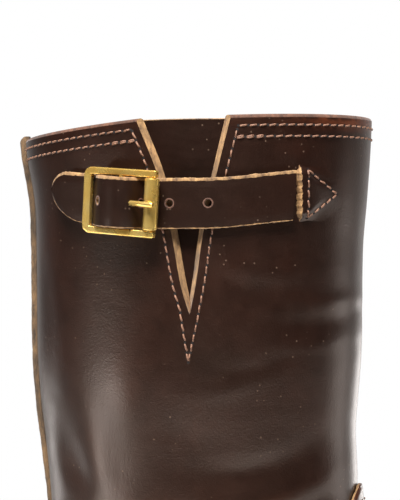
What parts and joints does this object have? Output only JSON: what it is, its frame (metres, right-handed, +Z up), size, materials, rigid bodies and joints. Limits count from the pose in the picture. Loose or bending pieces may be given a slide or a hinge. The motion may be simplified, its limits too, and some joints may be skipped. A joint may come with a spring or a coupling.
{
  "type": "engineer boot",
  "caption": "Right engineer boot of dark brown pull-up leather, with a notched collar and two straps with brass roller buckles.",
  "frame": {"origin": "centre of the heel, on the floor under the top lift", "axes": "+X towards the toe, +Z up, +Y towards the inner side, so the buckles face -Y"},
  "size_m": [0.3138, 0.1254, 0.3184],
  "materials": {
    "upper_leather": "waxed pull-up leather, satin",
    "strap_leather": "waxed pull-up leather, satin",
    "raw_edge": "raw cut edge, matt",
    "insole_leather": "natural vegetable tanned, matt",
    "brass_hardware": "solid brass, polished and a little worn",
    "sole_leather": "dyed and burnished edge",
    "sole_rubber": "matt black",
    "thread": "waxed thread"
  },
  "bodies": {
    "root": {"upper": "upper_leather", "vamp": "upper_leather", "counter": "upper_leather", "back_seam": "raw_edge", "gusset": "upper_leather", "top_strap": "strap_leather", "top_chape": "strap_leather", "top_buckle": "brass_hardware", "top_roller": "brass_hardware", "top_prong": "brass_hardware", "instep_strap": "strap_leather", "instep_chape": "strap_leather", "instep_buckle": "brass_hardware", "instep_roller": "brass_hardware", "instep_prong": "brass_hardware", "insole": "insole_leather", "welt": "sole_leather", "midsole": "sole_leather", "outsole": "sole_rubber", "heel_lift_1": "sole_leather", "heel_lift_2": "sole_leather", "heel_lift_3": "sole_leather", "heel_lift_4": "sole_leather", "top_lift": "sole_rubber"}
  },
  "joints": []
}
